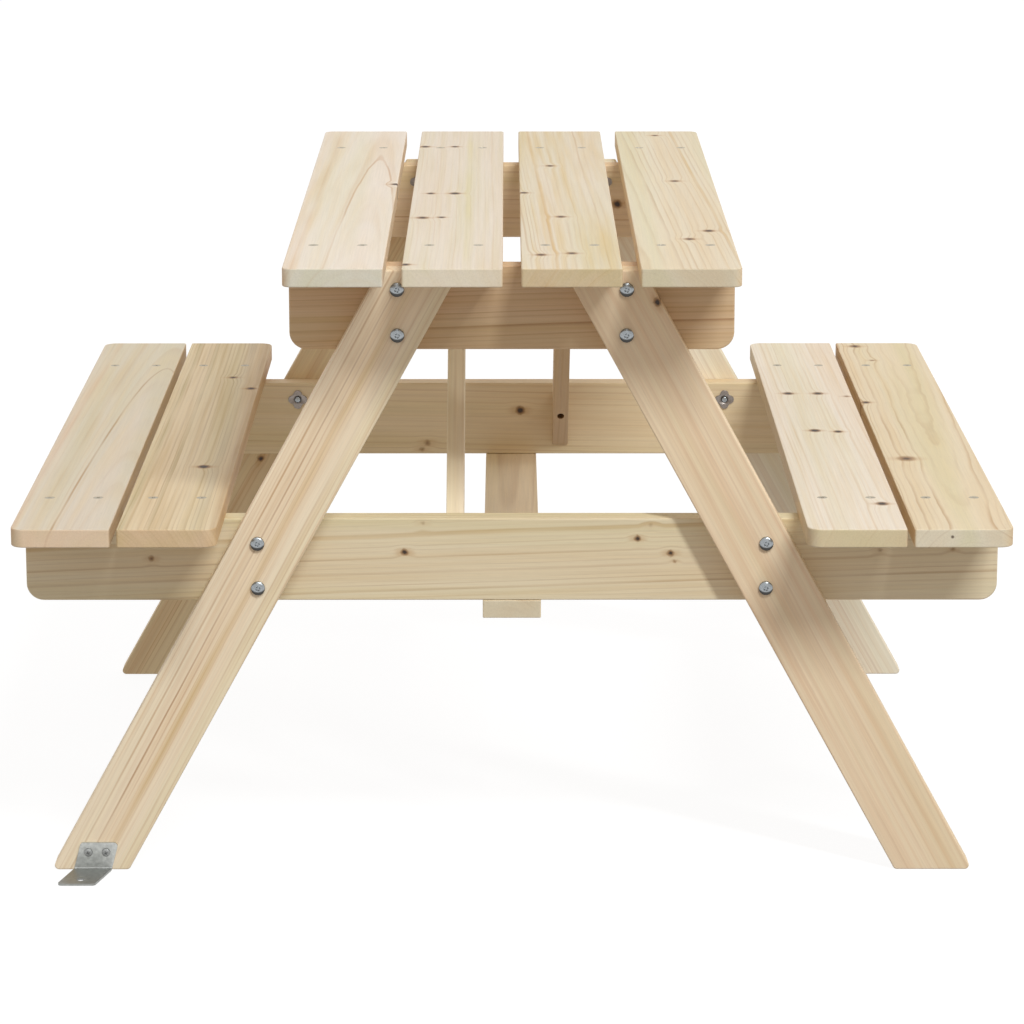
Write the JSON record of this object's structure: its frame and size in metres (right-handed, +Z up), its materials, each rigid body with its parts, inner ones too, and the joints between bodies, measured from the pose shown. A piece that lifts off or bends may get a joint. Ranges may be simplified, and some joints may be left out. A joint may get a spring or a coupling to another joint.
{
  "type": "kids picnic table",
  "caption": "Small wooden picnic table with a slatted tabletop and attached slatted benches on bolted A-frame legs, with diagonal braces, a stretcher and a screw-on ground anchor.",
  "frame": {"origin": "on the ground under the middle of the tabletop", "axes": "+Z up, X across the benches with +X to the right one, Y along the planks with the front of the table facing -Y"},
  "size_m": [0.9062, 0.89, 0.59],
  "materials": {
    "plank_wood": "planed, untreated",
    "beam_wood": "planed, untreated",
    "leg_wood": "planed, untreated",
    "brace_wood": "planed, untreated",
    "bolt_steel": "zinc plated",
    "nut_steel": "zinc plated",
    "screw_steel": "zinc plated",
    "anchor_steel": "galvanised"
  },
  "bodies": {
    "root": {"tabletop_plank_1": "plank_wood", "tabletop_plank_2": "plank_wood", "tabletop_plank_3": "plank_wood", "tabletop_plank_4": "plank_wood", "bench_plank_left_inner": "plank_wood", "bench_plank_left_outer": "plank_wood", "bench_plank_right_inner": "plank_wood", "bench_plank_right_outer": "plank_wood", "apron_front": "beam_wood", "apron_rear": "beam_wood", "bench_beam_front": "beam_wood", "bench_beam_rear": "beam_wood", "leg_front_left": "leg_wood", "leg_front_right": "leg_wood", "leg_rear_left": "leg_wood", "leg_rear_right": "leg_wood", "stretcher": "brace_wood", "brace_left": "brace_wood", "brace_right": "brace_wood", "bolt_front_left_apron_upper": "bolt_steel", "bolt_front_left_apron_lower": "bolt_steel", "bolt_front_left_beam_upper": "bolt_steel", "bolt_front_left_beam_lower": "bolt_steel", "bolt_front_right_apron_upper": "bolt_steel", "bolt_front_right_apron_lower": "bolt_steel", "bolt_front_right_beam_upper": "bolt_steel", "bolt_front_right_beam_lower": "bolt_steel", "bolt_rear_left_apron_upper": "bolt_steel", "bolt_rear_left_apron_lower": "bolt_steel", "bolt_rear_left_beam_upper": "bolt_steel", "bolt_rear_left_beam_lower": "bolt_steel", "bolt_rear_right_apron_upper": "bolt_steel", "bolt_rear_right_apron_lower": "bolt_steel", "bolt_rear_right_beam_upper": "bolt_steel", "bolt_rear_right_beam_lower": "bolt_steel", "tee_nut_front_left_apron_upper": "nut_steel", "tee_nut_front_left_apron_lower": "nut_steel", "tee_nut_front_left_beam_upper": "nut_steel", "tee_nut_front_left_beam_lower": "nut_steel", "tee_nut_front_right_apron_upper": "nut_steel", "tee_nut_front_right_apron_lower": "nut_steel", "tee_nut_front_right_beam_upper": "nut_steel", "tee_nut_front_right_beam_lower": "nut_steel", "tee_nut_rear_left_apron_upper": "nut_steel", "tee_nut_rear_left_apron_lower": "nut_steel", "tee_nut_rear_left_beam_upper": "nut_steel", "tee_nut_rear_left_beam_lower": "nut_steel", "tee_nut_rear_right_apron_upper": "nut_steel", "tee_nut_rear_right_apron_lower": "nut_steel", "tee_nut_rear_right_beam_upper": "nut_steel", "tee_nut_rear_right_beam_lower": "nut_steel", "ground_anchor": "anchor_steel", "anchor_screw_left": "screw_steel", "anchor_screw_right": "screw_steel"}
  },
  "joints": []
}
